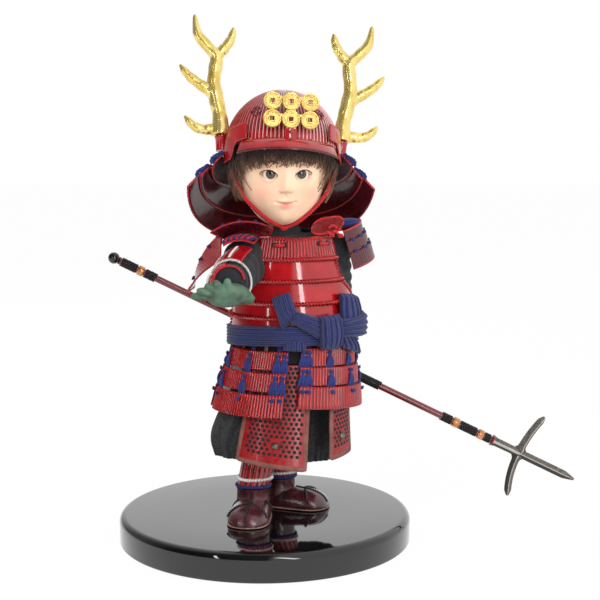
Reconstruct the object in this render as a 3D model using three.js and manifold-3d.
// Samurai doll in lacquered armour on a round stand.
// Millimetres, +Z up, origin at the centre of the stand's underside, the doll faces -Y.
// "Right" and "left" are the doll's own: right is -X, left is +X.
import * as THREE from 'three';
import { mergeVertices } from 'three/addons/utils/BufferGeometryUtils.js';
import Module from 'manifold-3d';

const wasm = await Module();
wasm.setup();

// Clearances
const SEAT_GAP = 0.3;
const CUT_GAP = 0.4;
const LINING_GAP = 1.2;

// Stand
const STAND_RADIUS = 105;
const STAND_THICKNESS = 20;
const STAND_TOP_ROUND = 5;
const STAND_BOTTOM_ROUND = 1.5;

// Boots, legs and leg pins, with heights above the stand's top
const BOOT_TOE_REACH = 38;
const BOOT_HEEL_REACH = 14;
const BOOT_WIDTH = 31;
const BOOT_INSTEP_HEIGHT = 15;
const BOOT_CUFF_HEIGHT = 21;
const BOOT_CUFF_RADIUS = 11.5;
const BOOT_CUFF_FLARE = 1.08;
const BOOT_HEEL_NARROWING = 0.82;
const BOOT_HEEL_RISE = 1.1;
const BOOT_TOE_FALL = 0.8;
const BOOT_END_ROUND = 0.06;
const SOLE_SHARE = 0.45;
const CUFF_FOOT = 2.3;
const RIGHT_ANKLE = { x: -8, y: -14, turn: -7 };
const LEFT_ANKLE = { x: 10, y: 14, turn: 72 };
const LEG_RADIUS = 9;
const RIGHT_HIP = { x: 9, y: 1 };
const LEFT_HIP = { x: 31, y: 4 };
const PIN_RADIUS = 2.2;
const PIN_DEPTH = 12;
const PIN_RISE = 8;
const SHIN_GUARD_THICKNESS = 1.8;
const SHIN_GUARD_REACH = 95;

// Trousers
const HEM_DRAW = 0.86;
const PUFF_SHARE = 0.2;
const RIGHT_PUFF = { x: -12, y: -8, halfWidth: 27.5, halfDepth: 26, hem: 44 };
const LEFT_PUFF = { x: 31, y: 10, halfWidth: 24.5, halfDepth: 24, hem: 37.5 };
const FOLD_COUNT = 9;
const FOLD_DEPTH = 1.3;
const WAIST_EASE = { width: 3, depth: 2 };

// Trunk and cuirass
const TRUNK_X = 20;
const TRUNK_Y = 2;
const TRUNK_TURN = 10;
const CUIRASS_BOTTOM = 133;
const CUIRASS_HEIGHT = 66.2;
const NECK_DIP = 1;
const CUIRASS_THICKNESS = 1.6;
const WAIST_HALF_WIDTH = 44;
const WAIST_HALF_DEPTH = 36;
const SHOULDER_HALF_WIDTH = 32.5;
const SHOULDER_HALF_DEPTH = 27;
const CHEST_SWELL = 2.2;
const SIDE_REACH = 89.3;
const CHEST_REACH = 48;
const ARMHOLE_START = 16;
const ARMHOLE_END = 42;
const STRAP_INNER = 19;
const STRAP_WIDTH = 7;
const STRAP_RISE = 0.8;
const STRAP_THICKNESS = 1.2;
const COLLAR_RISE = 1.5;
const SHOULDER_DROPS = { edge: 3, round: 1 };
const SHOULDER_SHARE = 0.84;
const COLLAR_SHARE = 0.52;

// Armour skirt: hanger band, panels of lames, thigh guards
const SKIRT_DROP = 14.5;
const SKIRT_HALF_WIDTH = 44.6;
const SKIRT_HALF_DEPTH = 37.4;
const SKIRT_FLARE_WIDTH = 0.15;
const SKIRT_FLARE_DEPTH = 0.21;
const SKIRT_LEAN = 0.11;
const LAME_THICKNESS = 1.4;
const LAME_HEIGHT = 16.6;
const LAME_PITCH = 14.4;
const LAMES_PER_PANEL = 3;
const FRONT_PANEL_START = 6;
const FRONT_PANEL_END = 86;
const BACK_PANEL_START = 96;
const BACK_PANEL_END = 174;
const HANGER_DROP = 5.5;
const HANGER_THICKNESS = 1.4;
const TROUSER_DROP = 1;
const THIGH_GUARD_THICKNESS = 1.4;
const THIGH_GUARD_INSET = 2.9;
const THIGH_GUARD_LENGTH = 65;
const RIGHT_THIGH_GUARD = { from: -45, to: 9 };
const LEFT_THIGH_GUARD = { from: 27, to: 59 };

// Sash
const SASH_HEIGHT = 13.5;
const SASH_DROP = 4;
const SASH_TILT = 3;
const SASH_THICKNESS = 3.4;
const BOW_THICKNESS = 2.6;
const BOW_KNOT_ANGLE = 36;
const BOW_KNOT_SIZE = { width: 8, depth: 5, height: 8.5 };
const BOW_KNOT_DROP = 1;
// Ribbons of the bow: corners of angle and height above the sash's lower edge, lift off the sash, thickness
const BOW_RIBBONS = [
  { corners: [[-6, 4], [14, 1], [5, 33.5], [-14, 30.5]], lift: 0, thickness: BOW_THICKNESS },
  { corners: [[4, 3], [36, -1], [36, 10.5], [4, 15.5]], lift: 1.2, thickness: BOW_THICKNESS + 1 },
  { corners: [[34, 3], [56, 3], [64, 32.5], [45, 33.5]], lift: 0.8, thickness: BOW_THICKNESS + 2.4 },
  { corners: [[46, -7], [62, -8], [50, 9.5], [32, 9.5]], lift: 2.4, thickness: BOW_THICKNESS },
  { corners: [[20, -5], [32, -4], [40, 10.5], [30, 10.5]], lift: 2.6, thickness: BOW_THICKNESS },
];

// Arms and hands, with heights measured from the top of the cuirass
const RIGHT_SLEEVE = [[-3, 8, -15.5], [-12, -20, -19.5], [-18, -42, -23], [-21, -60, -26.5]];
const RIGHT_SLEEVE_RADII = [15.5, 15.5, 14, 12.5];
const LEFT_SLEEVE = [[47, 4, -9.5], [49.5, 22, -36.5], [53, 41, -63.5], [55.3, 53, -96]];
const LEFT_SLEEVE_RADII = [14.5, 13.5, 11, 9];
const FOREARM_GUARD_THICKNESS = 1.4;
const FOREARM_GUARD_REACH = 105;
const FOREARM_GUARD_START = 0.56;
const FOREARM_GUARD_END = 0.97;
const PALM_SIZE = { width: 14, depth: 9, height: 8 };
const PALM_ROLL = -8;
const HAND_OFFSET = [-1, -11.5, -7];
const WRIST_RADIUS = 6.5;
const WRIST_LENGTH = 10;
const WRIST_DROP = 4.5;
const HAND_CUFF = { places: [[10, 2, -1], [17, 3, -4]], radii: [6, 2.5] };
const FINGER_RADII = [4.2, 3.1, 2.2];
const FINGER_TIPS = [[-24, -6, 0], [-20, -9, 4], [-14.5, -10, 7.5], [-9, -10, 10], [0, -7, 11.5]];
const FINGER_ROOT_SHARE = [0.3, 0.15, 0];
const FINGER_BEND_SHARE = [0.7, 0.75, 0.75];
const FIST_SIZE = { length: 11, depth: 11, height: 12 };
const KNUCKLE_SIZE = { length: 3.4, depth: 4, height: 7 };
const KNUCKLE_SPREAD = 7.5;
const KNUCKLE_PLACE = -6.8;
const SHAFT_EASE = 2;

// Shoulder guards
const GUARD_THICKNESS = 1.2;
const RIGHT_GUARD_AXIS = [[-8, 0, -19.5], [-16, -33, -23.5]];
const CAP_BACK_RADIUS = 26.5;
const CAP_FRONT_RADIUS = 35;
const CAP_INNER_FLARE = 5;
const CAP_ANGLES = [-36, 36];
const CAP_SPAN = [0.5, 0.91];
const UNDER_LAME_ANGLES = [-24, 33];
const UNDER_LAME_SPAN = [0.5, 0.85];
const UNDER_LAME_DRAW = 2;
const SIDE_LAME_ANGLES = [37, 111];
const SIDE_LAME_BACK_RADIUS = 30.5;
const SIDE_LAME_FLARE = 13.5;
const SIDE_LAME_DRAW = 12;
const SIDE_LAME_SPAN = [0.36, 0.84];
const SIDE_DRAW_START = 0.5;
const SIDE_DRAW_SWELL = 2.2;
const LEFT_GUARD_AXIS = [[50, 4, 6.5], [57, 9, -21.5]];
const LEFT_GUARD_RADII = [19, 19.5];
const LEFT_GUARD_ANGLES = [-15, -150];
const LEFT_GUARD_SPANS = [[0.02, 0.36], [0.28, 0.65], [0.57, 0.95]];
const BOARD_ANGLES = [-62, -118];
const BOARD_PLACE = 0.1;
const BOARD_INNER_X = 43;

// Head, wig and neck
const HEAD_X = 12.7;
const HEAD_Y = 1;
const HEAD_RISE = 57.8;
const HEAD_TILT = -5;
const HEAD_TURN = 6;
const HEAD_HALF_WIDTH = 33;
const HEAD_HALF_DEPTH = 34;
const HEAD_CENTRE = -4;
const CROWN_HEIGHT = 34;
const CHIN_DROP = 49.5;
const JAW_TAPER = 0.24;
const NAPE_HOLLOW = 0.35;
const POLE_ANGLE = 0.06;
const EAR_SIZE = { width: 3, depth: 5, height: 8 };
const EAR_PLACE = { inset: 1.5, y: 3, z: -22 };
const EAR_EASE = 1.6;
const NOSE_SIZE = { width: 3, depth: 3.4, height: 4 };
const NOSE_PLACE = { reach: 0.93, drop: 8 };
const NECK_RADIUS = 9.3;
const NECK_SINK = 1.5;
const PEG_RADIUS = 3.6;
const PEG_LENGTH = 34;
const EYE_RADIUS = 5.6;
const EYE_SPREAD = 12.5;
const EYE_LEVEL = -17;
const EYE_PROUD = 0.8;
const WIG_THICKNESS = 1.9;
const WIG_TOP = 0.08;
const WIG_FRINGE = 1.5;
const WIG_NAPE = 2.12;
const WIG_TURN = [0.05, 0.55];
const CHIN_CORD_RADIUS = 1.4;
// Half of the chin cord's way: angle from the face, polar angle, and whether it lies over the hair
const CHIN_CORD_ROUTE = [[70, 1.72, true], [60, 2.05, true], [44, 2.36, false], [22, 2.62, false]];
const CHIN_CORD_LOW = 2.72;
const CHIN_KNOT_SIZE = { width: 4, depth: 3, height: 2.8 };
const CHIN_KNOT_LIFT = 1.2;

// Helmet
const HELMET_TILT = -10;
const HELMET_ROLL = 3;
const HELMET_TURN = 2;
const HELMET_EASE = 0.7;
const CROWN_EASE = 8.6;
const BOWL_THICKNESS = 2.2;
const NECK_GUARD_ROLL = -2;
const BRIM_REACH = 48;
const BRIM_WIDTH = 10.5;
const BRIM_END_WIDTH = 6;
const BRIM_DROP = 9;
const BRIM_THICKNESS = 1.4;
const BRIM_RISE = 1;
const NECK_LAME_THICKNESS = 1.3;
const NECK_LAME_REACH = 88;
const NECK_LAME_FLARE = 6.9;
const NECK_LAME_DROP = 7.4;
const NECK_LAME_BACK = 1.1;
const NECK_LAME_LAP = 0.12;
const NECK_LAME_START = -1;
const FLAP_SPAN = 39;
const FLAP_LAP = 4;
const FLAP_BOTTOM = -8;
const FLAP_OVER_BRIM = 2.2;
const FLAP_TOP = 12.5;
const FLAP_FLARE = 3;
const FLAP_TOP_FALL = [0.5, 1];
const FLAP_BOTTOM_RISE = [0.3, 0.6];
const TOP_LAME_REACH = 100;

// Crest of six coins
const COIN_RADIUS = 6.2;
const COIN_THICKNESS = 1.6;
const COIN_HOLE = 2.8;
const COIN_PITCH = 12.8;
const COIN_RISE = 12.3;
const CREST_BASE = 6.4;
const CREST_STEM_WIDTH = 4;
const CREST_STEM_THICKNESS = 1.4;
const CREST_STEM_DEPTH = 7;
const HOLDER_WALL = 1.4;
const HOLDER_FOOT = 2;
const HOLDER_STAND_OFF = 1;
const BAR_LAP = 0.3;
const STEM_REACH = 0.6;

// Antlers
const ANTLER_RADIUS = 5;
const ANTLER_TIP_RADIUS = 1.5;
const TINE_RADIUS = 3.3;
const TANG_RADIUS = 2;
const TANG_LENGTH = 9;
const TANG_ROOT = 3;
const SOCKET_WALL = 1.8;
const ANTLER_BEAM = [[3, 4, 12], [4, 4, 25], [7, 4, 38], [9, 4, 50], [8.3, 4, 60],
  [8, 3.5, 69], [15, 3, 76.5], [21.5, 2.5, 84.5], [24.2, 2, 98.5]];
const ANTLER_TINES = [
  [[3.5, 4, 16.5], [9, 4, 16], [17, 4, 15.6], [23.6, 3.5, 18.4], [29.2, 3, 24.4]],
  [[9, 4, 42], [12.3, 4, 43.8], [20.7, 3.5, 49], [27.8, 3, 54.4], [33.6, 3, 61.4]],
  [[8, 3.5, 68], [1.3, 3, 76.2], [-2.5, 3, 83.1], [-4.1, 2, 90.9]],
];

// Spear, with lengths along the shaft from the fist towards the tail and towards the blade
const FIST_CENTRE = [55, 54, -37.4];
const SPEAR_SLOPE = 26;
const SHAFT_RADIUS = 2.6;
const TAIL_LENGTH = 186;
const KNOB_RADIUS = 4.4;
const WRAP_RADIUS = 3.6;
const TAIL_WRAP_INSET = 3;
const TAIL_WRAP_LENGTH = 30;
const HEAD_WRAP_START = 86.5;
const HEAD_WRAP_LENGTH = 43.5;
const SHAFT_TANG = 12;
const SOCKET_LENGTH = 23;
const BLADE_SOCKET_RADIUS = 4;
const BLADE_NECK_RADIUS = 3.6;
const BLADE_LENGTH = 47.5;
const BLADE_THICKNESS = 3.4;
const BLADE_HALF_WIDTH = 3.2;
const BLADE_POINT = 14;
const CROSS_REACH = 33;
const CROSS_SWEEP = 7.5;
const CROSS_HALF_WIDTH = 2.6;
const CROSS_TIP_SHARE = 1 / 3;
const CROSS_BEND = 2.5;

const cuirassTop = CUIRASS_BOTTOM + CUIRASS_HEIGHT;
const skirtTop = CUIRASS_BOTTOM - SKIRT_DROP;
const sashCentre = CUIRASS_BOTTOM - SASH_DROP;
const neckEnd = COLLAR_RISE - NECK_SINK - HEAD_RISE;
const headWrapEnd = HEAD_WRAP_START + HEAD_WRAP_LENGTH;
const shaftHead = headWrapEnd + SHAFT_TANG;
const crossPlace = headWrapEnd + SOCKET_LENGTH;
const hairDepth = LINING_GAP + WIG_THICKNESS;
const bowlRadius = HEAD_HALF_DEPTH + hairDepth + HELMET_EASE + BOWL_THICKNESS;
const bowlHeight = HEAD_CENTRE + CROWN_HEIGHT + hairDepth + CROWN_EASE + BOWL_THICKNESS;

const radians = THREE.MathUtils.degToRad;
const mix = THREE.MathUtils.lerp;
const TURN = 2 * Math.PI;

function range(count, make) {
  return Array.from({ length: count }, (_, index) => make(index));
}

// Closed geometry with shared corners, faces pointing out
function closed(geometry) {
  geometry.deleteAttribute('normal');
  geometry.deleteAttribute('uv');
  const merged = mergeVertices(geometry, 1e-4);
  const corners = merged.index.array;
  const place = merged.attributes.position;
  const at = (index) => new THREE.Vector3().fromBufferAttribute(place, index);
  const faces = [];
  let volume = 0;
  for (let i = 0; i < corners.length; i += 3) {
    const [a, b, c] = [corners[i], corners[i + 1], corners[i + 2]];
    if (a !== b && b !== c && c !== a) {
      faces.push(a, b, c);
      volume += at(a).dot(at(b).cross(at(c)));
    }
  }
  merged.setIndex(volume > 0 ? faces : faces.reverse());
  return merged;
}

function asSolid(geometry) {
  const vertProperties = new Float32Array(geometry.attributes.position.array);
  const triVerts = new Uint32Array(geometry.index.array);
  return new wasm.Manifold(new wasm.Mesh({ numProp: 3, vertProperties, triVerts }));
}

function asGeometry(solid) {
  const mesh = solid.getMesh();
  const geometry = new THREE.BufferGeometry();
  geometry.setAttribute('position', new THREE.BufferAttribute(new Float32Array(mesh.vertProperties), 3));
  geometry.setIndex(Array.from(mesh.triVerts));
  return geometry;
}

function join(...geometries) {
  return asGeometry(geometries.map(asSolid).reduce((whole, next) => whole.add(next)));
}

function cut(geometry, ...tools) {
  return asGeometry(tools.map(asSolid).reduce((left, tool) => left.subtract(tool), asSolid(geometry)));
}

function meshed(points, faces) {
  const geometry = new THREE.BufferGeometry();
  const flat = new Float32Array(points.flatMap((point) => point.toArray()));
  geometry.setAttribute('position', new THREE.BufferAttribute(flat, 3));
  geometry.setIndex(faces);
  return closed(geometry);
}

// Closed skin over rings of points, with both ends capped
function loft(rings) {
  const sides = rings[0].length;
  const points = rings.flat();
  const faces = [];
  for (let ring = 0; ring + 1 < rings.length; ring += 1) {
    for (let side = 0; side < sides; side += 1) {
      const a = ring * sides + side;
      const b = ring * sides + ((side + 1) % sides);
      faces.push(a, b, b + sides, a, b + sides, a + sides);
    }
  }
  for (const [ring, first] of [[rings[0], 0], [rings.at(-1), points.length - sides]]) {
    const centre = ring.reduce((sum, point) => sum.add(point), new THREE.Vector3()).divideScalar(sides);
    const hub = points.push(centre) - 1;
    for (let side = 0; side < sides; side += 1) {
      const pair = [first + side, first + ((side + 1) % sides)];
      faces.push(hub, ...(first === 0 ? pair.reverse() : pair));
    }
  }
  return meshed(points, faces);
}

// Plate between two levels of a surface(u, v, grow), with u and v from 0 to 1
function plate(surface, across, down, inner, outer, isRing = false) {
  const columns = isRing ? across : across + 1;
  const rows = down + 1;
  const level = (grow) => range(rows, (row) => range(columns, (column) => (
    surface(column / across, row / down, grow)))).flat();
  const points = [...level(outer), ...level(inner)];
  const base = columns * rows;
  const at = (column, row) => row * columns + (column % columns);
  const faces = [];
  const quad = (a, b, c, d) => faces.push(a, b, c, a, c, d);
  for (let row = 0; row < down; row += 1) {
    for (let column = 0; column < across; column += 1) {
      const [a, b] = [at(column, row), at(column + 1, row)];
      const [d, c] = [at(column, row + 1), at(column + 1, row + 1)];
      quad(a, b, c, d);
      quad(base + a, base + d, base + c, base + b);
    }
  }
  for (let column = 0; column < across; column += 1) {
    const [a, b] = [at(column, 0), at(column + 1, 0)];
    const [d, c] = [at(column, down), at(column + 1, down)];
    quad(b, a, base + a, base + b);
    quad(d, c, base + c, base + d);
  }
  for (let row = 0; row < down && !isRing; row += 1) {
    const [a, d] = [at(0, row), at(0, row + 1)];
    const [b, c] = [at(across, row), at(across, row + 1)];
    quad(a, d, base + d, base + a);
    quad(c, b, base + b, base + c);
  }
  return meshed(points, faces);
}

// Round section swept along a line: gives (share, angle, grow), the angle measured from a lead direction
function limb(places, radii, lead) {
  const curve = new THREE.CatmullRomCurve3(places.map((place) => new THREE.Vector3(...place)));
  const widths = new THREE.CatmullRomCurve3(radii.map((radius) => new THREE.Vector3(radius, 0, 0)));
  return (share, angle, grow) => {
    const centre = curve.getPoint(share);
    const along = curve.getTangent(share);
    const ahead = lead.clone().addScaledVector(along, -lead.dot(along)).normalize();
    const side = new THREE.Vector3().crossVectors(along, ahead);
    const radius = widths.getPoint(share).x + grow;
    centre.addScaledVector(ahead, radius * Math.cos(angle));
    return centre.addScaledVector(side, radius * Math.sin(angle));
  };
}

function limbSolid(section, steps, sides, grow = 0) {
  return loft(range(steps + 1, (step) => range(sides, (side) => (
    section(step / steps, (side / sides) * TURN, grow)))));
}

function turned(profile, segments) {
  const geometry = new THREE.LatheGeometry(profile.map(([r, z]) => new THREE.Vector2(r, z)), segments);
  return closed(geometry.rotateX(Math.PI / 2));
}

function rod(radius, bottom, top, sides = 16) {
  return turned([[0, bottom], [radius, bottom], [radius, top], [0, top]], sides);
}

function ball(width, depth, height, sides = 16) {
  const sphere = new THREE.SphereGeometry(1, sides, sides / 2).rotateX(Math.PI / 2);
  return closed(sphere.scale(width, depth, height));
}

function block(width, depth, height) {
  return closed(new THREE.BoxGeometry(width, depth, height));
}

function finish(color, roughness, metalness = 0) {
  return new THREE.MeshStandardMaterial({ color, roughness, metalness });
}

function piece(parent, name, geometry, material) {
  const mesh = new THREE.Mesh(geometry, material);
  mesh.name = name;
  parent.add(mesh);
  return mesh;
}

const UP = new THREE.Vector3(0, 0, 1);
const FRONT = new THREE.Vector3(0, -1, 0);
const BLACK_LACQUER = 0x0c0b0c;
const RED_LACQUER = 0xb2181e;
const MAROON_LACQUER = 0x46141c;
const OXBLOOD = 0x4b2326;
const BLACK_CLOTH = 0x282a2e;
const NAVY = 0x2d3269;
const GOLD = 0xe1be55;
const STEEL = 0x78736c;
const SKIN = 0xf0cdaf;
const HAIR = 0x32231c;
const GREEN_LEATHER = 0x55735a;
const BLACK_WRAP = 0x151314;
const BROWN_LEATHER = 0x8c5a50;
const EYE_BROWN = 0x2a1a12;
const PEG_WOOD = 0xb08a5a;
const SHAFT_RED = 0x5a1219;

const doll = new THREE.Group();
const figure = new THREE.Group();
figure.position.z = STAND_THICKNESS;
doll.add(figure);

// Stand, with a blind hole for each leg pin
function makeStand() {
  const arc = (radius, z, from) => range(4, (step) => {
    const angle = from + (step / 3) * (Math.PI / 2);
    return [STAND_RADIUS - radius + radius * Math.cos(angle), z + radius * Math.sin(angle)];
  });
  const disc = turned([
    [0, 0],
    ...arc(STAND_BOTTOM_ROUND, STAND_BOTTOM_ROUND, -Math.PI / 2),
    ...arc(STAND_TOP_ROUND, STAND_THICKNESS - STAND_TOP_ROUND, 0),
    [0, STAND_THICKNESS],
  ], 36);
  const holes = [RIGHT_ANKLE, LEFT_ANKLE].map(({ x, y }) => (
    rod(PIN_RADIUS + SEAT_GAP, STAND_THICKNESS - PIN_DEPTH - SEAT_GAP, STAND_THICKNESS + 1)
      .translate(x, y, 0)));
  return cut(disc, ...holes);
}
piece(doll, 'stand_base', makeStand(), finish(BLACK_LACQUER, 0.08));

// Boot: foot with a flat sole, round cuff, hole for the pin
function makeBoot() {
  const steps = 7;
  const foot = loft(range(steps + 1, (step) => {
    const share = step / steps;
    const y = mix(BOOT_HEEL_REACH, -BOOT_TOE_REACH, share);
    const round = Math.sqrt(Math.max(BOOT_END_ROUND, 1 - (2 * share - 1) ** 4));
    const width = (BOOT_WIDTH / 2) * round * mix(BOOT_HEEL_NARROWING, 1, share);
    const height = BOOT_INSTEP_HEIGHT * round * mix(BOOT_HEEL_RISE, BOOT_TOE_FALL, share);
    return range(10, (side) => {
      const angle = (side / 10) * TURN;
      const up = Math.max(0, Math.sin(angle) + SOLE_SHARE) / (1 + SOLE_SHARE);
      return new THREE.Vector3(width * Math.cos(angle), y, SEAT_GAP + height * up);
    });
  }));
  const cuff = turned([
    [0, CUFF_FOOT], [BOOT_CUFF_RADIUS * BOOT_CUFF_FLARE, CUFF_FOOT],
    [BOOT_CUFF_RADIUS, BOOT_CUFF_HEIGHT], [0, BOOT_CUFF_HEIGHT],
  ], 14);
  return cut(join(foot, cuff), rod(PIN_RADIUS + SEAT_GAP, -1, BOOT_CUFF_HEIGHT + 1, 12));
}

// Section of a stuffed leg, level at every height
function legSection(ankle, hip) {
  const low = BOOT_CUFF_HEIGHT + SEAT_GAP;
  return (height, angle, grow) => {
    const share = (height - low) / (trouserTop() - low);
    return new THREE.Vector3(
      mix(ankle.x, hip.x, share) + (LEG_RADIUS + grow) * Math.sin(angle),
      mix(ankle.y, hip.y, share) - (LEG_RADIUS + grow) * Math.cos(angle),
      height,
    );
  };
}

function legSolid(ankle, hip, from, to, grow) {
  const section = legSection(ankle, hip);
  return loft([from, to].map((height) => range(14, (side) => section(height, (side / 14) * TURN, grow))));
}

function makeLeg(ankle, hip) {
  const stuffing = legSolid(ankle, hip, BOOT_CUFF_HEIGHT + SEAT_GAP, trouserTop(), 0);
  const pin = rod(PIN_RADIUS, -PIN_DEPTH, BOOT_CUFF_HEIGHT + PIN_RISE, 12).translate(ankle.x, ankle.y, 0);
  return join(stuffing, pin);
}

function makeShinGuard(ankle, hip, hem) {
  const section = legSection(ankle, hip);
  const reach = radians(SHIN_GUARD_REACH);
  const wrap = (u, v, grow) => section(
    mix(BOOT_CUFF_HEIGHT + 2 * SEAT_GAP, hem - SEAT_GAP, v), mix(-reach, reach, u), grow);
  return plate(wrap, 10, 2, CUT_GAP, CUT_GAP + SHIN_GUARD_THICKNESS);
}

// Trousers: two puffed legs that join at the waist, hollow for the stuffed legs
function trouserTop() {
  return skirtTop - HANGER_DROP - TROUSER_DROP;
}

function makeTrouserLeg(puff) {
  const rows = 6;
  const sides = 36;
  const top = trouserTop() - SEAT_GAP;
  const waist = skirtSize(top, -LAME_THICKNESS - THIGH_GUARD_INSET - THIGH_GUARD_THICKNESS - 2 * CUT_GAP);
  return loft(range(rows + 1, (row) => {
    const share = row / rows;
    const rise = share < PUFF_SHARE ? 0 : (share - PUFF_SHARE) / (1 - PUFF_SHARE);
    const open = Math.min(1, share / PUFF_SHARE);
    const draw = mix(HEM_DRAW, 1, Math.sin(open * (Math.PI / 2)));
    const x = mix(puff.x, TRUNK_X + waist.x, rise);
    const y = mix(puff.y, TRUNK_Y, rise);
    const halfWidth = mix(puff.halfWidth, waist.halfDepth - WAIST_EASE.width, rise) * draw;
    const halfDepth = mix(puff.halfDepth, waist.halfDepth - WAIST_EASE.depth, rise) * draw;
    return range(sides, (side) => {
      const angle = (side / sides) * TURN;
      const fold = FOLD_DEPTH * (1 - rise) * Math.cos(FOLD_COUNT * angle);
      return new THREE.Vector3(
        x + (halfWidth + fold) * Math.sin(angle),
        y - (halfDepth + fold) * Math.cos(angle),
        mix(puff.hem, top, share),
      );
    });
  }));
}

function makeTrousers() {
  const hollows = [[RIGHT_ANKLE, RIGHT_HIP], [LEFT_ANKLE, LEFT_HIP]].map(([ankle, hip]) => (
    legSolid(ankle, hip, BOOT_CUFF_HEIGHT, trouserTop() + LEG_RADIUS, CUT_GAP)));
  return cut(join(makeTrouserLeg(RIGHT_PUFF), makeTrouserLeg(LEFT_PUFF)), ...hollows);
}

const legs = [
  ['right', RIGHT_ANKLE, RIGHT_HIP, RIGHT_PUFF.hem],
  ['left', LEFT_ANKLE, LEFT_HIP, LEFT_PUFF.hem],
];
for (const [side, ankle, hip, hem] of legs) {
  const boot = piece(figure, `${side}_boot`, makeBoot(), finish(OXBLOOD, 0.3));
  boot.position.set(ankle.x, ankle.y, 0);
  boot.rotation.z = radians(ankle.turn);
  piece(figure, `${side}_leg`, makeLeg(ankle, hip), finish(BLACK_CLOTH, 0.9));
  piece(figure, `${side}_shin_guard`, makeShinGuard(ankle, hip, hem), finish(RED_LACQUER, 0.25));
}
piece(figure, 'trousers', makeTrousers(), finish(BLACK_CLOTH, 0.95));

// Trunk: everything in this group is measured from the doll's own upright axis
const trunk = new THREE.Group();
trunk.position.set(TRUNK_X, TRUNK_Y, 0);
trunk.rotation.z = radians(TRUNK_TURN);
trunk.updateMatrix();
figure.add(trunk);

// Surface of the cuirass, the angle measured from the front towards the left
function barrel(angle, height, grow) {
  const rise = (height - CUIRASS_BOTTOM) / CUIRASS_HEIGHT;
  const swell = CHEST_SWELL * 4 * rise * (1 - rise);
  const halfWidth = mix(WAIST_HALF_WIDTH, SHOULDER_HALF_WIDTH, rise) + swell + grow;
  const halfDepth = mix(WAIST_HALF_DEPTH, SHOULDER_HALF_DEPTH, rise) + swell + grow;
  return new THREE.Vector3(halfWidth * Math.sin(angle), -halfDepth * Math.cos(angle), height);
}

function skirtSize(height, grow) {
  const drop = skirtTop - height;
  return {
    x: -SKIRT_LEAN * drop,
    halfWidth: SKIRT_HALF_WIDTH + SKIRT_FLARE_WIDTH * drop + grow,
    halfDepth: SKIRT_HALF_DEPTH + SKIRT_FLARE_DEPTH * drop + grow,
  };
}

// Surface of the armour skirt, with the same angle
function skirt(angle, height, grow) {
  const { x, halfWidth, halfDepth } = skirtSize(height, grow);
  return new THREE.Vector3(x + halfWidth * Math.sin(angle), -halfDepth * Math.cos(angle), height);
}

function cuirassReach(height) {
  const share = THREE.MathUtils.smoothstep(height - CUIRASS_BOTTOM, ARMHOLE_START, ARMHOLE_END);
  return radians(mix(SIDE_REACH, CHEST_REACH, share));
}

function makeCuirass(facing, neckDip) {
  const surface = (u, v, grow) => {
    const side = 2 * u - 1;
    const dip = neckDip * Math.max(0, 1 - 4 * side * side);
    const height = mix(CUIRASS_BOTTOM, cuirassTop - dip, v);
    return barrel(facing + side * cuirassReach(height), height, grow);
  };
  return plate(surface, 14, 10, -CUIRASS_THICKNESS, 0);
}

function makeStrap(side) {
  const reach = SHOULDER_HALF_DEPTH * Math.sqrt(1 - (STRAP_INNER / SHOULDER_HALF_WIDTH) ** 2);
  const surface = (u, v, grow) => new THREE.Vector3(
    side * mix(STRAP_INNER, STRAP_INNER + STRAP_WIDTH, u),
    mix(-reach, reach, v),
    cuirassTop + SEAT_GAP + STRAP_RISE * Math.sin(Math.PI * v) + grow,
  );
  return plate(surface, 2, 8, 0, STRAP_THICKNESS);
}

const hangerInset = -LAME_THICKNESS - SEAT_GAP;
const hangerBottom = skirtTop - HANGER_DROP;

function makeHangerBand() {
  const surface = (u, v, grow) => skirt(
    u * TURN, mix(hangerBottom, CUIRASS_BOTTOM - SEAT_GAP, v), hangerInset + grow);
  return plate(surface, 28, 1, -HANGER_THICKNESS, 0, true);
}

// Head frame: upright axis of the neck, with the helmet's frame inside it
const head = new THREE.Group();
head.position.set(HEAD_X, HEAD_Y, cuirassTop + HEAD_RISE);
head.rotation.set(radians(HEAD_TILT), 0, radians(HEAD_TURN), 'ZYX');
head.updateMatrix();
figure.add(head);
const helmet = new THREE.Group();
helmet.rotation.set(radians(HELMET_TILT), radians(HELMET_ROLL), radians(HELMET_TURN), 'ZYX');
head.add(helmet);
const headToTrunk = trunk.matrix.clone().invert().multiply(head.matrix);

function makeTorso() {
  const sides = 28;
  const ring = (surface, height, grow, share = 1) => range(sides, (side) => {
    const point = surface((side / sides) * TURN, height, grow);
    return new THREE.Vector3(point.x * share, point.y * share, height);
  });
  const inside = -CUIRASS_THICKNESS - LINING_GAP;
  const hips = hangerInset - HANGER_THICKNESS - LINING_GAP;
  const body = loft([
    ring(skirt, trouserTop() + SEAT_GAP, hips),
    ring(skirt, CUIRASS_BOTTOM - SEAT_GAP / 2, hips),
    ring(barrel, CUIRASS_BOTTOM + SEAT_GAP, inside),
    ...range(5, (step) => ring(
      barrel, mix(CUIRASS_BOTTOM, cuirassTop, (step + 1) / 6) + SEAT_GAP, inside)),
    ring(barrel, cuirassTop - SHOULDER_DROPS.edge, inside),
    ring(barrel, cuirassTop - SHOULDER_DROPS.round, inside, SHOULDER_SHARE),
    ring(barrel, cuirassTop + COLLAR_RISE, inside, COLLAR_SHARE),
  ]);
  const neckWell = rod(NECK_RADIUS + SEAT_GAP, neckEnd - SEAT_GAP, neckEnd + 3 * NECK_RADIUS, 24);
  const pegHole = rod(PEG_RADIUS + SEAT_GAP, neckEnd - PEG_LENGTH / 2 - SEAT_GAP, neckEnd + 1, 16);
  return cut(body, neckWell.applyMatrix4(headToTrunk), pegHole.applyMatrix4(headToTrunk));
}

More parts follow.
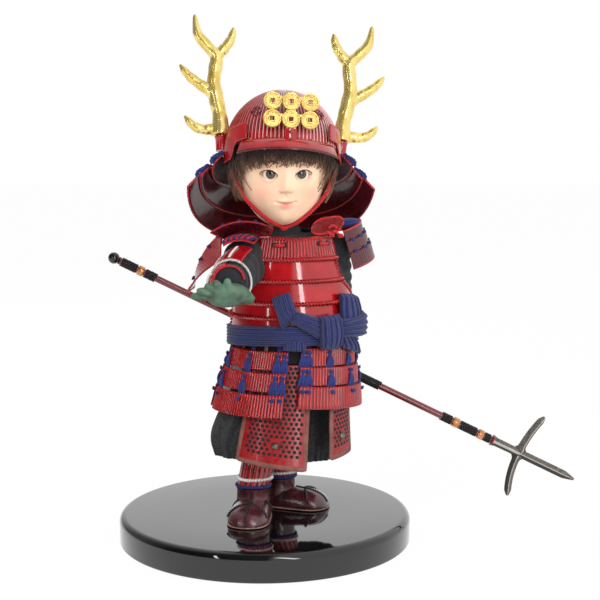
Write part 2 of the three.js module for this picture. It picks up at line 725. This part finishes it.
piece(trunk, 'torso_core', makeTorso(), finish(BLACK_CLOTH, 0.95));
piece(trunk, 'cuirass_front', makeCuirass(0, NECK_DIP), finish(RED_LACQUER, 0.12));
piece(trunk, 'cuirass_back', makeCuirass(Math.PI, 0), finish(RED_LACQUER, 0.12));
piece(trunk, 'right_shoulder_strap', makeStrap(-1), finish(RED_LACQUER, 0.2));
piece(trunk, 'left_shoulder_strap', makeStrap(1), finish(RED_LACQUER, 0.2));
piece(trunk, 'hanger_band', makeHangerBand(), finish(BROWN_LEATHER, 0.8));

// Skirt panels: each lower lame lies outside the one above it
function makeLame(index, from, to) {
  const top = skirtTop - index * LAME_PITCH;
  const offset = index * (LAME_THICKNESS + SEAT_GAP);
  const surface = (u, v, grow) => skirt(
    radians(mix(from, to, u)), mix(top, top - LAME_HEIGHT, v), offset + grow);
  return plate(surface, 8, 1, -LAME_THICKNESS, 0);
}

const panels = [
  ['front_right', -FRONT_PANEL_END, -FRONT_PANEL_START],
  ['front_left', FRONT_PANEL_START, FRONT_PANEL_END],
  ['back_right', -BACK_PANEL_END, -BACK_PANEL_START],
  ['back_left', BACK_PANEL_START, BACK_PANEL_END],
];
for (const [name, from, to] of panels) {
  for (let index = 0; index < LAMES_PER_PANEL; index += 1) {
    piece(trunk, `skirt_${name}_lame_${index + 1}`, makeLame(index, from, to), finish(RED_LACQUER, 0.25));
  }
}

function makeThighGuard({ from, to }) {
  const top = trouserTop();
  const surface = (u, v, grow) => skirt(
    radians(mix(from, to, u)), mix(top, top - THIGH_GUARD_LENGTH, v), -THIGH_GUARD_INSET + grow);
  return plate(surface, 6, 2, -THIGH_GUARD_THICKNESS, 0);
}
piece(trunk, 'right_thigh_guard', makeThighGuard(RIGHT_THIGH_GUARD), finish(RED_LACQUER, 0.3));
piece(trunk, 'left_thigh_guard', makeThighGuard(LEFT_THIGH_GUARD), finish(RED_LACQUER, 0.3));

// Sash band, a little higher in front, and its bow
function makeSash() {
  const surface = (u, v, grow) => {
    const angle = u * TURN;
    const point = barrel(angle, CUIRASS_BOTTOM, CUT_GAP + grow);
    point.z = sashCentre + SASH_TILT * Math.cos(angle) + mix(-SASH_HEIGHT / 2, SASH_HEIGHT / 2, v);
    return point;
  };
  return plate(surface, 28, 2, 0, SASH_THICKNESS, true);
}

// Ribbon with four corners of angle and height, lying off the cuirass surface
function ribbon(corners, bottom, near, thickness) {
  const [lowFrom, lowTo, highTo, highFrom] = corners;
  const surface = (u, v, grow) => {
    const angle = mix(mix(lowFrom[0], lowTo[0], u), mix(highFrom[0], highTo[0], u), v);
    const height = bottom + mix(mix(lowFrom[1], lowTo[1], u), mix(highFrom[1], highTo[1], u), v);
    const point = barrel(radians(angle), Math.max(height, CUIRASS_BOTTOM), grow);
    return point.setZ(height);
  };
  return plate(surface, 4, 3, near, near + thickness);
}

function makeBow() {
  const over = CUT_GAP + SASH_THICKNESS + SEAT_GAP;
  const middle = sashCentre + SASH_TILT;
  const bottom = middle - SASH_HEIGHT / 2;
  const place = barrel(radians(BOW_KNOT_ANGLE), CUIRASS_BOTTOM, over + BOW_KNOT_SIZE.depth);
  const knot = ball(BOW_KNOT_SIZE.width, BOW_KNOT_SIZE.depth, BOW_KNOT_SIZE.height, 10)
    .rotateZ(radians(BOW_KNOT_ANGLE))
    .translate(place.x, place.y, middle - BOW_KNOT_DROP);
  const ribbons = BOW_RIBBONS.map(({ corners, lift, thickness }) => (
    ribbon(corners, bottom, over + lift, thickness)));
  return join(knot, ...ribbons);
}
piece(trunk, 'sash_band', makeSash(), finish(NAVY, 0.9));
piece(trunk, 'sash_bow', makeBow(), finish(NAVY, 0.9));

// Arms: stuffed sleeves that end against the cuirass
const fromCuirassTop = (places) => places.map(([x, y, z]) => [x, y, cuirassTop + z]);
const rightSleeve = limb(fromCuirassTop(RIGHT_SLEEVE), RIGHT_SLEEVE_RADII, UP);
const leftSleeve = limb(fromCuirassTop(LEFT_SLEEVE), LEFT_SLEEVE_RADII, FRONT);

function trunkSolid(grow) {
  const heights = range(7, (step) => mix(CUIRASS_BOTTOM - SKIRT_DROP, cuirassTop + STRAP_RISE, step / 6));
  const rings = heights.map((height) => range(28, (side) => barrel((side / 28) * TURN, height, grow)));
  return loft(rings).applyMatrix4(trunk.matrix);
}

function sashSolid() {
  const reach = SASH_HEIGHT / 2 + SASH_TILT + CUT_GAP;
  const grow = SASH_THICKNESS + 2 * CUT_GAP;
  const rings = [-reach, reach].map((offset) => range(28, (side) => (
    barrel((side / 28) * TURN, CUIRASS_BOTTOM, grow).setZ(sashCentre + offset))));
  return loft(rings).applyMatrix4(trunk.matrix);
}

function makeForearmGuard() {
  const reach = radians(FOREARM_GUARD_REACH);
  const surface = (u, v, grow) => rightSleeve(
    mix(FOREARM_GUARD_START, FOREARM_GUARD_END, v), mix(-reach, reach, u), grow);
  return plate(surface, 10, 3, CUT_GAP, CUT_GAP + FOREARM_GUARD_THICKNESS);
}

// Short wrist between the sleeve's end and the palm
function makeWrist() {
  const radius = RIGHT_SLEEVE_RADII.at(-1);
  const centre = rightSleeve(1, 0, -radius);
  const ahead = rightSleeve(1, 0, 0).sub(centre).normalize();
  const side = rightSleeve(1, Math.PI / 2, 0).sub(centre).normalize();
  const along = new THREE.Vector3().crossVectors(ahead, side);
  return loft([SEAT_GAP, WRIST_LENGTH].map((reach) => range(10, (index) => (
    rightSleeve(1, (index / 10) * TURN, WRIST_RADIUS - radius)
      .addScaledVector(ahead, -WRIST_DROP)
      .addScaledVector(along, reach)))));
}

// Open glove: palm, four fingers that fan to the doll's right, thumb on top
function makeOpenHand() {
  const wrist = rightSleeve(1, 0, -RIGHT_SLEEVE_RADII.at(-1));
  const palm = ball(PALM_SIZE.width, PALM_SIZE.depth, PALM_SIZE.height, 12).rotateY(radians(PALM_ROLL));
  const fingers = FINGER_TIPS.map((tip) => {
    const root = tip.map((value, axis) => value * FINGER_ROOT_SHARE[axis]);
    const bend = tip.map((value, axis) => value * FINGER_BEND_SHARE[axis]);
    return limbSolid(limb([root, bend, tip], FINGER_RADII, UP), 3, 6);
  });
  const cuff = limbSolid(limb(HAND_CUFF.places, HAND_CUFF.radii, UP), 2, 8);
  const [x, y, z] = HAND_OFFSET;
  const glove = join(palm, ...fingers, cuff).translate(wrist.x + x, wrist.y + y, wrist.z + z);
  return join(glove, makeWrist());
}

// Closed fist round the shaft, in the spear's frame with the shaft along X
function fistSolid(grow) {
  const grown = (size, sides) => ball(size.length + grow, size.depth + grow, size.height + grow, sides);
  const knuckles = range(4, (index) => grown(KNUCKLE_SIZE, 8)
    .translate(mix(-KNUCKLE_SPREAD, KNUCKLE_SPREAD, index / 3), KNUCKLE_PLACE, 0));
  return join(grown(FIST_SIZE, 14), ...knuckles);
}

function shaftBore(ease) {
  return rod(SHAFT_RADIUS + ease, -2 * FIST_SIZE.length, 2 * FIST_SIZE.length, 16).rotateY(Math.PI / 2);
}

const grip = new THREE.Group();
grip.position.set(FIST_CENTRE[0], FIST_CENTRE[1], CUIRASS_BOTTOM + FIST_CENTRE[2]);
grip.rotation.y = radians(SPEAR_SLOPE);
grip.updateMatrix();
figure.add(grip);

function makeLeftSleeve() {
  const hand = [fistSolid(CUT_GAP), shaftBore(SHAFT_EASE)].map((solid) => solid.applyMatrix4(grip.matrix));
  return cut(limbSolid(leftSleeve, 8, 14), trunkSolid(CUT_GAP), sashSolid(), ...hand);
}

piece(figure, 'right_sleeve', cut(limbSolid(rightSleeve, 8, 14), trunkSolid(CUT_GAP)),
  finish(BLACK_CLOTH, 0.95));
piece(figure, 'left_sleeve', makeLeftSleeve(), finish(BLACK_CLOTH, 0.95));
piece(figure, 'right_forearm_guard', makeForearmGuard(), finish(RED_LACQUER, 0.3));
piece(figure, 'right_hand', makeOpenHand(), finish(GREEN_LEATHER, 0.7));
piece(grip, 'left_hand', cut(fistSolid(0), shaftBore(SEAT_GAP)), finish(GREEN_LEATHER, 0.7));

// Shoulder guards: three lames over each upper arm
const rightGuardAxis = limb(fromCuirassTop(RIGHT_GUARD_AXIS), [0, 0], UP);
const guardLayer = GUARD_THICKNESS + SEAT_GAP;

function guardLame(section, [from, to], [first, last], radius) {
  const surface = (u, v, grow) => section(
    mix(from, to, v), radians(mix(first, last, u)), radius(u, v) + grow);
  return plate(surface, 8, 2, -GUARD_THICKNESS, 0);
}

// The cap flares towards the hand, the lame below it narrows, and the side lame swings outward
const capRadius = (u, v) => (
  mix(CAP_BACK_RADIUS, CAP_FRONT_RADIUS, v) + CAP_INNER_FLARE * (1 - u) ** 2);
const underRadius = (u, v) => CAP_BACK_RADIUS - guardLayer - UNDER_LAME_DRAW * v;
const sideDraw = (u) => SIDE_LAME_DRAW * (1 - u) * (SIDE_DRAW_START + SIDE_DRAW_SWELL * u);
const sideRadius = (u, v) => SIDE_LAME_BACK_RADIUS + SIDE_LAME_FLARE * u * u - sideDraw(u) * v;
const rightGuard = [
  ['right_shoulder_cap', guardLame(rightGuardAxis, CAP_SPAN, CAP_ANGLES, capRadius)],
  ['right_shoulder_lame_1', guardLame(rightGuardAxis, UNDER_LAME_SPAN, UNDER_LAME_ANGLES, underRadius)],
  ['right_shoulder_lame_2', guardLame(rightGuardAxis, SIDE_LAME_SPAN, SIDE_LAME_ANGLES, sideRadius)],
];

const leftGuardAxis = limb(fromCuirassTop(LEFT_GUARD_AXIS), LEFT_GUARD_RADII, FRONT);

// Board from the left shoulder strap to the top of the guard, lying over the strap
function makeShoulderBoard() {
  const overStrap = cuirassTop + 2 * SEAT_GAP + STRAP_RISE + STRAP_THICKNESS;
  const surface = (u, v, grow) => {
    const angle = radians(mix(...BOARD_ANGLES, u));
    const outer = leftGuardAxis(BOARD_PLACE, angle, -GUARD_THICKNESS / 2);
    const inner = new THREE.Vector3(BOARD_INNER_X, outer.y, overStrap);
    return inner.lerp(outer, v).add(new THREE.Vector3(0, 0, grow));
  };
  return plate(surface, 4, 3, 0, GUARD_THICKNESS);
}

const leftLames = ['left_shoulder_cap', 'left_shoulder_lame_1', 'left_shoulder_lame_2'];
const leftGuard = leftLames.map((name, index) => {
  const lift = () => index * guardLayer;
  const lame = guardLame(leftGuardAxis, LEFT_GUARD_SPANS[index], LEFT_GUARD_ANGLES, lift);
  const trimmed = cut(lame, trunkSolid(CUT_GAP), limbSolid(leftSleeve, 8, 14, CUT_GAP));
  return [name, index === 0 ? join(trimmed, makeShoulderBoard()) : trimmed];
});
for (const [name, geometry] of [...rightGuard, ...leftGuard]) {
  piece(figure, name, geometry, finish(MAROON_LACQUER, 0.2));
}

// Head: an egg with a tapering jaw; the angle is measured from the face towards the left
function skull(angle, polar, grow) {
  const up = Math.cos(polar);
  const out = Math.sin(polar);
  const low = Math.max(0, -up);
  const taper = 1 - JAW_TAPER * low * low;
  const hollow = Math.cos(angle) < 0 ? 1 + NAPE_HOLLOW * low * low * Math.cos(angle) : 1;
  return new THREE.Vector3(
    (HEAD_HALF_WIDTH + grow) * out * Math.sin(angle) * taper,
    -(HEAD_HALF_DEPTH + grow) * out * Math.cos(angle) * hollow,
    HEAD_CENTRE + up * ((up > 0 ? CROWN_HEIGHT : CHIN_DROP) + grow),
  );
}

function eyePlace(side) {
  const polar = Math.acos((EYE_LEVEL - HEAD_CENTRE) / CHIN_DROP);
  const angle = side * Math.asin(EYE_SPREAD / HEAD_HALF_WIDTH);
  return skull(angle, polar, EYE_PROUD - EYE_RADIUS);
}

function makeEars(grow) {
  const { width, depth, height } = EAR_SIZE;
  return [-1, 1].map((side) => ball(width + grow, depth + grow, height + grow, 8)
    .translate(side * (HEAD_HALF_WIDTH - EAR_PLACE.inset), EAR_PLACE.y, EAR_PLACE.z));
}

function makeHead() {
  const rows = 10;
  const egg = loft(range(rows + 1, (row) => range(24, (side) => (
    skull((side / 24) * TURN, mix(POLE_ANGLE, Math.PI - POLE_ANGLE, row / rows), 0)))));
  const neck = rod(NECK_RADIUS, neckEnd, HEAD_CENTRE, 24);
  const nose = ball(NOSE_SIZE.width, NOSE_SIZE.depth, NOSE_SIZE.height, 10)
    .translate(0, -HEAD_HALF_DEPTH * NOSE_PLACE.reach, EYE_LEVEL - NOSE_PLACE.drop);
  const sockets = [-1, 1].map((side) => {
    const place = eyePlace(side);
    return ball(EYE_RADIUS + SEAT_GAP, EYE_RADIUS + SEAT_GAP, EYE_RADIUS + SEAT_GAP, 10)
      .translate(place.x, place.y, place.z);
  });
  const pegHole = rod(PEG_RADIUS + SEAT_GAP, neckEnd - 1, neckEnd + PEG_LENGTH / 2 + SEAT_GAP);
  return cut(join(egg, neck, ...makeEars(0), nose), ...sockets, pegHole);
}

// Wig: a cap of hair with a fringe, longer at the sides and the nape
function makeWig() {
  const edge = (angle) => {
    const back = (1 - Math.cos(angle)) / 2;
    return mix(WIG_FRINGE, WIG_NAPE, THREE.MathUtils.smoothstep(back, ...WIG_TURN));
  };
  const surface = (u, v, grow) => {
    const angle = u * TURN;
    return skull(angle, mix(WIG_TOP, edge(angle), v), grow);
  };
  return cut(plate(surface, 24, 8, LINING_GAP, hairDepth, true), ...makeEars(EAR_EASE));
}

// Chin cord: from one temple under the chin, with its knot, to the other temple
function makeChinCord() {
  const lift = CHIN_CORD_RADIUS + CUT_GAP;
  const half = (side) => CHIN_CORD_ROUTE.map(([angle, polar, isOverHair]) => (
    skull(side * radians(angle), polar, isOverHair ? lift + hairDepth : lift)));
  const curve = new THREE.CatmullRomCurve3([
    ...half(-1), skull(0, CHIN_CORD_LOW, lift), ...half(1).reverse()]);
  const section = new THREE.Shape().absarc(0, 0, CHIN_CORD_RADIUS, 0, TURN);
  const cord = closed(new THREE.ExtrudeGeometry(section, {
    steps: 26, curveSegments: 4, extrudePath: curve, bevelEnabled: false }));
  const low = skull(0, CHIN_CORD_LOW, lift + CHIN_KNOT_LIFT);
  const knot = ball(CHIN_KNOT_SIZE.width, CHIN_KNOT_SIZE.depth, CHIN_KNOT_SIZE.height, 8);
  return join(cord, knot.translate(low.x, low.y, low.z));
}

piece(head, 'head', makeHead(), finish(SKIN, 0.55));
for (const [name, side] of [['right_eye', -1], ['left_eye', 1]]) {
  piece(head, name, ball(EYE_RADIUS, EYE_RADIUS, EYE_RADIUS, 10), finish(EYE_BROWN, 0.05))
    .position.copy(eyePlace(side));
}
piece(head, 'wig', makeWig(), finish(HAIR, 0.8));
piece(head, 'neck_peg', rod(PEG_RADIUS, neckEnd - PEG_LENGTH / 2, neckEnd + PEG_LENGTH / 2),
  finish(PEG_WOOD, 0.7));
piece(head, 'chin_cord', makeChinCord(), finish(RED_LACQUER, 0.8));

// Antler: beam, tines and tang, from places beside the bowl
function besideBowl(places, side) {
  return places.map(([out, y, z]) => [side * (bowlRadius + out), y, z]);
}

function antlerRoot(side) {
  const places = besideBowl(ANTLER_BEAM.slice(0, 2), side);
  const [root, next] = places.map((place) => new THREE.Vector3(...place));
  return { root, away: root.clone().sub(next).normalize() };
}

function antlerTang(side, radius, extra) {
  const { root, away } = antlerRoot(side);
  const end = root.clone().addScaledVector(away, TANG_LENGTH + extra);
  const start = root.clone().addScaledVector(away, -TANG_ROOT);
  return limbSolid(limb([start.toArray(), end.toArray()], [radius, radius], FRONT), 2, 10);
}

function makeAntler(side) {
  const taper = (radius, count) => range(count, (index) => (
    mix(radius, ANTLER_TIP_RADIUS, (index / (count - 1)) ** 3)));
  const beam = limb(besideBowl(ANTLER_BEAM, side), taper(ANTLER_RADIUS, ANTLER_BEAM.length), FRONT);
  const tines = ANTLER_TINES.map((places) => limbSolid(
    limb(besideBowl(places, side), taper(TINE_RADIUS, places.length), FRONT), 6, 6));
  return join(limbSolid(beam, 12, 8), ...tines, antlerTang(side, TANG_RADIUS, 0));
}

function makeSocket(side) {
  const { root, away } = antlerRoot(side);
  const start = root.clone().addScaledVector(away, SEAT_GAP);
  const end = root.clone().addScaledVector(away, TANG_LENGTH + SEAT_GAP + SOCKET_WALL);
  const radius = TANG_RADIUS + SEAT_GAP + SOCKET_WALL;
  return limbSolid(limb([start.toArray(), end.toArray()], [radius, radius], FRONT), 2, 12);
}

// Helmet bowl with an antler socket on each side
function makeBowl() {
  const arc = (radius, height) => range(7, (step) => {
    const angle = (step / 6) * (Math.PI / 2);
    return [step === 6 ? 0 : radius * Math.cos(angle), height * Math.sin(angle)];
  });
  const inside = arc(bowlRadius - BOWL_THICKNESS, bowlHeight - BOWL_THICKNESS);
  const shell = turned([...inside.reverse(), ...arc(bowlRadius, bowlHeight)], 28);
  const inner = turned([[0, 0], ...inside.reverse(), [0, 0]], 28);
  const sockets = cut(join(makeSocket(-1), makeSocket(1)), inner);
  return cut(join(shell, sockets), antlerTang(-1, TANG_RADIUS + SEAT_GAP, SEAT_GAP),
    antlerTang(1, TANG_RADIUS + SEAT_GAP, SEAT_GAP));
}

const holderDepth = CREST_STEM_THICKNESS + 2 * SEAT_GAP + 2 * HOLDER_WALL;
const holderPlace = -bowlRadius - SEAT_GAP - HOLDER_STAND_OFF - holderDepth / 2;

function makeBrim() {
  const reach = radians(BRIM_REACH);
  const surface = (u, v, grow) => {
    const side = 2 * u - 1;
    const width = mix(BRIM_WIDTH, BRIM_END_WIDTH, side * side);
    const radius = bowlRadius + SEAT_GAP + width * v;
    const angle = side * reach;
    const height = BRIM_RISE - BRIM_DROP * v * v + grow;
    return new THREE.Vector3(radius * Math.sin(angle), -radius * Math.cos(angle), height);
  };
  const wide = CREST_STEM_WIDTH + 2 * SEAT_GAP;
  const deep = CREST_STEM_THICKNESS + 2 * SEAT_GAP;
  const foot = CREST_BASE - CREST_STEM_DEPTH - SEAT_GAP - HOLDER_WALL - HOLDER_FOOT;
  const tall = CREST_BASE - SEAT_GAP - foot;
  const holder = block(wide + 2 * HOLDER_WALL, holderDepth, tall)
    .translate(0, holderPlace, foot + tall / 2);
  const slot = block(wide, deep, CREST_STEM_DEPTH + SEAT_GAP + 1)
    .translate(0, holderPlace, CREST_BASE - (CREST_STEM_DEPTH + SEAT_GAP - 1) / 2);
  return cut(join(plate(surface, 14, 3, -BRIM_THICKNESS, 0), holder), slot);
}

// Crest: six coins with square holes on a backing bar and a stem
function makeCrest() {
  const outline = new THREE.Shape().absarc(0, 0, COIN_RADIUS, 0, TURN);
  const hole = new THREE.Path().moveTo(-COIN_HOLE / 2, -COIN_HOLE / 2);
  hole.lineTo(-COIN_HOLE / 2, COIN_HOLE / 2).lineTo(COIN_HOLE / 2, COIN_HOLE / 2);
  hole.lineTo(COIN_HOLE / 2, -COIN_HOLE / 2).lineTo(-COIN_HOLE / 2, -COIN_HOLE / 2);
  outline.holes.push(hole);
  const shape = { depth: COIN_THICKNESS, curveSegments: 8, bevelEnabled: false };
  const low = CREST_BASE + COIN_RADIUS;
  const coins = [0, 1].flatMap((row) => [-1, 0, 1].map((column) => (
    closed(new THREE.ExtrudeGeometry(outline, shape).rotateX(Math.PI / 2))
      .translate(column * COIN_PITCH, 0, low + row * COIN_RISE))));
  const bars = [0, 1].map((row) => block(2 * COIN_PITCH, CREST_STEM_THICKNESS, CREST_STEM_WIDTH / 2)
    .translate(0, CREST_STEM_THICKNESS / 2 - BAR_LAP, low + row * COIN_RISE + COIN_HOLE));
  const stemTop = low + COIN_RISE + COIN_RADIUS * STEM_REACH;
  const stemFoot = CREST_BASE - CREST_STEM_DEPTH;
  const stem = block(CREST_STEM_WIDTH, CREST_STEM_THICKNESS, stemTop - stemFoot)
    .translate(0, CREST_STEM_THICKNESS / 2 - BAR_LAP, (stemTop + stemFoot) / 2);
  return join(...coins, ...bars, stem).translate(0, holderPlace - CREST_STEM_THICKNESS / 2 + BAR_LAP, 0);
}

// Neck guard lame: deeper at the back; the angle is measured from the back
const topLameRadius = bowlRadius + CUT_GAP + NECK_LAME_THICKNESS;

function neckLame(index, reach) {
  const surface = (u, v, grow) => {
    const side = 2 * u - 1;
    const depth = 1 + NECK_LAME_BACK * (1 - Math.abs(side) ** 3);
    const step = index + v * (1 + NECK_LAME_LAP);
    const layer = index * (NECK_LAME_THICKNESS + CUT_GAP);
    const radius = topLameRadius + NECK_LAME_FLARE * step + layer + grow;
    const angle = side * radians(reach);
    const height = NECK_LAME_START - NECK_LAME_DROP * step * depth;
    return new THREE.Vector3(radius * Math.sin(angle), radius * Math.cos(angle), height);
  };
  return plate(surface, 18, 2, -NECK_LAME_THICKNESS, 0);
}

// Turned-back end of the top lame, standing up beside the brim
function makeFlap(side) {
  const surface = (u, v, grow) => {
    const angle = side * radians(TOP_LAME_REACH + mix(FLAP_SPAN, -FLAP_LAP, u));
    const radius = topLameRadius + FLAP_FLARE * (1 - u) ** 2 + grow;
    const top = mix(FLAP_TOP, 0, THREE.MathUtils.smoothstep(u, ...FLAP_TOP_FALL));
    const fall = THREE.MathUtils.smoothstep(u, ...FLAP_BOTTOM_RISE);
    const bottom = mix(FLAP_OVER_BRIM, FLAP_BOTTOM, fall);
    return new THREE.Vector3(
      radius * Math.sin(angle), radius * Math.cos(angle), mix(bottom, top, v));
  };
  return plate(surface, 8, 2, -NECK_LAME_THICKNESS, 0);
}

piece(helmet, 'helmet_bowl', makeBowl(), finish(RED_LACQUER, 0.25));
piece(helmet, 'helmet_brim', makeBrim(), finish(RED_LACQUER, 0.2));
const neckGuard = new THREE.Group();
neckGuard.rotation.y = radians(NECK_GUARD_ROLL);
helmet.add(neckGuard);
piece(neckGuard, 'neck_guard_lame_1', join(neckLame(0, TOP_LAME_REACH), makeFlap(-1), makeFlap(1)),
  finish(RED_LACQUER, 0.25));
for (const index of [1, 2]) {
  const lame = neckLame(index, NECK_LAME_REACH);
  piece(neckGuard, `neck_guard_lame_${index + 1}`, lame, finish(RED_LACQUER, 0.25));
}
piece(helmet, 'crest', makeCrest(), finish(GOLD, 0.3, 0.9));
piece(helmet, 'right_antler', makeAntler(-1), finish(GOLD, 0.3, 0.9));
piece(helmet, 'left_antler', makeAntler(1), finish(GOLD, 0.3, 0.9));

// Spear, along X of the grip's frame
function alongShaft(profile, sides) {
  return turned(profile, sides).rotateY(Math.PI / 2);
}

function wrapOnShaft(from, length) {
  const bore = SHAFT_RADIUS + SEAT_GAP / 2;
  const to = from + length;
  return alongShaft([[bore, from], [WRAP_RADIUS, from], [WRAP_RADIUS, to], [bore, to], [bore, from]], 14);
}

// Blade: a straight point and two side arms that sweep forward, on a round socket
function makeBlade() {
  const arm = (side, edge) => range(6, (step) => {
    const share = step / 5;
    const width = edge * CROSS_HALF_WIDTH * mix(1, CROSS_TIP_SHARE, share);
    const along = crossPlace + CROSS_SWEEP * share ** CROSS_BEND + width;
    return [along, side * mix(BLADE_HALF_WIDTH, CROSS_REACH, share)];
  });
  const tip = crossPlace + BLADE_LENGTH;
  const corners = [
    [tip, 0],
    [tip - BLADE_POINT, BLADE_HALF_WIDTH],
    ...arm(1, 1),
    ...arm(1, -1).reverse(),
    ...arm(-1, -1),
    ...arm(-1, 1).reverse(),
    [tip - BLADE_POINT, -BLADE_HALF_WIDTH],
  ];
  const outline = new THREE.Shape(corners.map(([x, y]) => new THREE.Vector2(x, y)));
  const flat = closed(new THREE.ExtrudeGeometry(outline, { depth: BLADE_THICKNESS, bevelEnabled: false }))
    .translate(0, 0, -BLADE_THICKNESS / 2)
    .rotateX(Math.PI / 2);
  const start = headWrapEnd + SEAT_GAP;
  const neck = alongShaft([
    [0, start], [BLADE_SOCKET_RADIUS, start],
    [BLADE_NECK_RADIUS, crossPlace], [0, crossPlace],
  ], 14);
  const bore = rod(SHAFT_RADIUS + SEAT_GAP / 2, start - 1, shaftHead + SEAT_GAP).rotateY(Math.PI / 2);
  return cut(join(flat, neck), bore);
}

function makeKnob() {
  const knob = ball(KNOB_RADIUS, KNOB_RADIUS, KNOB_RADIUS, 10)
    .translate(-TAIL_LENGTH - KNOB_RADIUS / 2, 0, 0);
  const bore = rod(SHAFT_RADIUS + SEAT_GAP / 2, -TAIL_LENGTH - SEAT_GAP, KNOB_RADIUS - TAIL_LENGTH);
  return cut(knob, bore.rotateY(Math.PI / 2));
}

piece(grip, 'spear_shaft', rod(SHAFT_RADIUS, -TAIL_LENGTH, shaftHead, 14).rotateY(Math.PI / 2),
  finish(SHAFT_RED, 0.15));
piece(grip, 'spear_blade', makeBlade(), finish(STEEL, 0.35, 0.9));
piece(grip, 'spear_tail_knob', makeKnob(), finish(BLACK_LACQUER, 0.15));
piece(grip, 'spear_head_wrap', wrapOnShaft(HEAD_WRAP_START, HEAD_WRAP_LENGTH), finish(BLACK_WRAP, 0.7));
piece(grip, 'spear_tail_wrap', wrapOnShaft(TAIL_WRAP_INSET - TAIL_LENGTH, TAIL_WRAP_LENGTH),
  finish(BLACK_WRAP, 0.7));

export default doll;
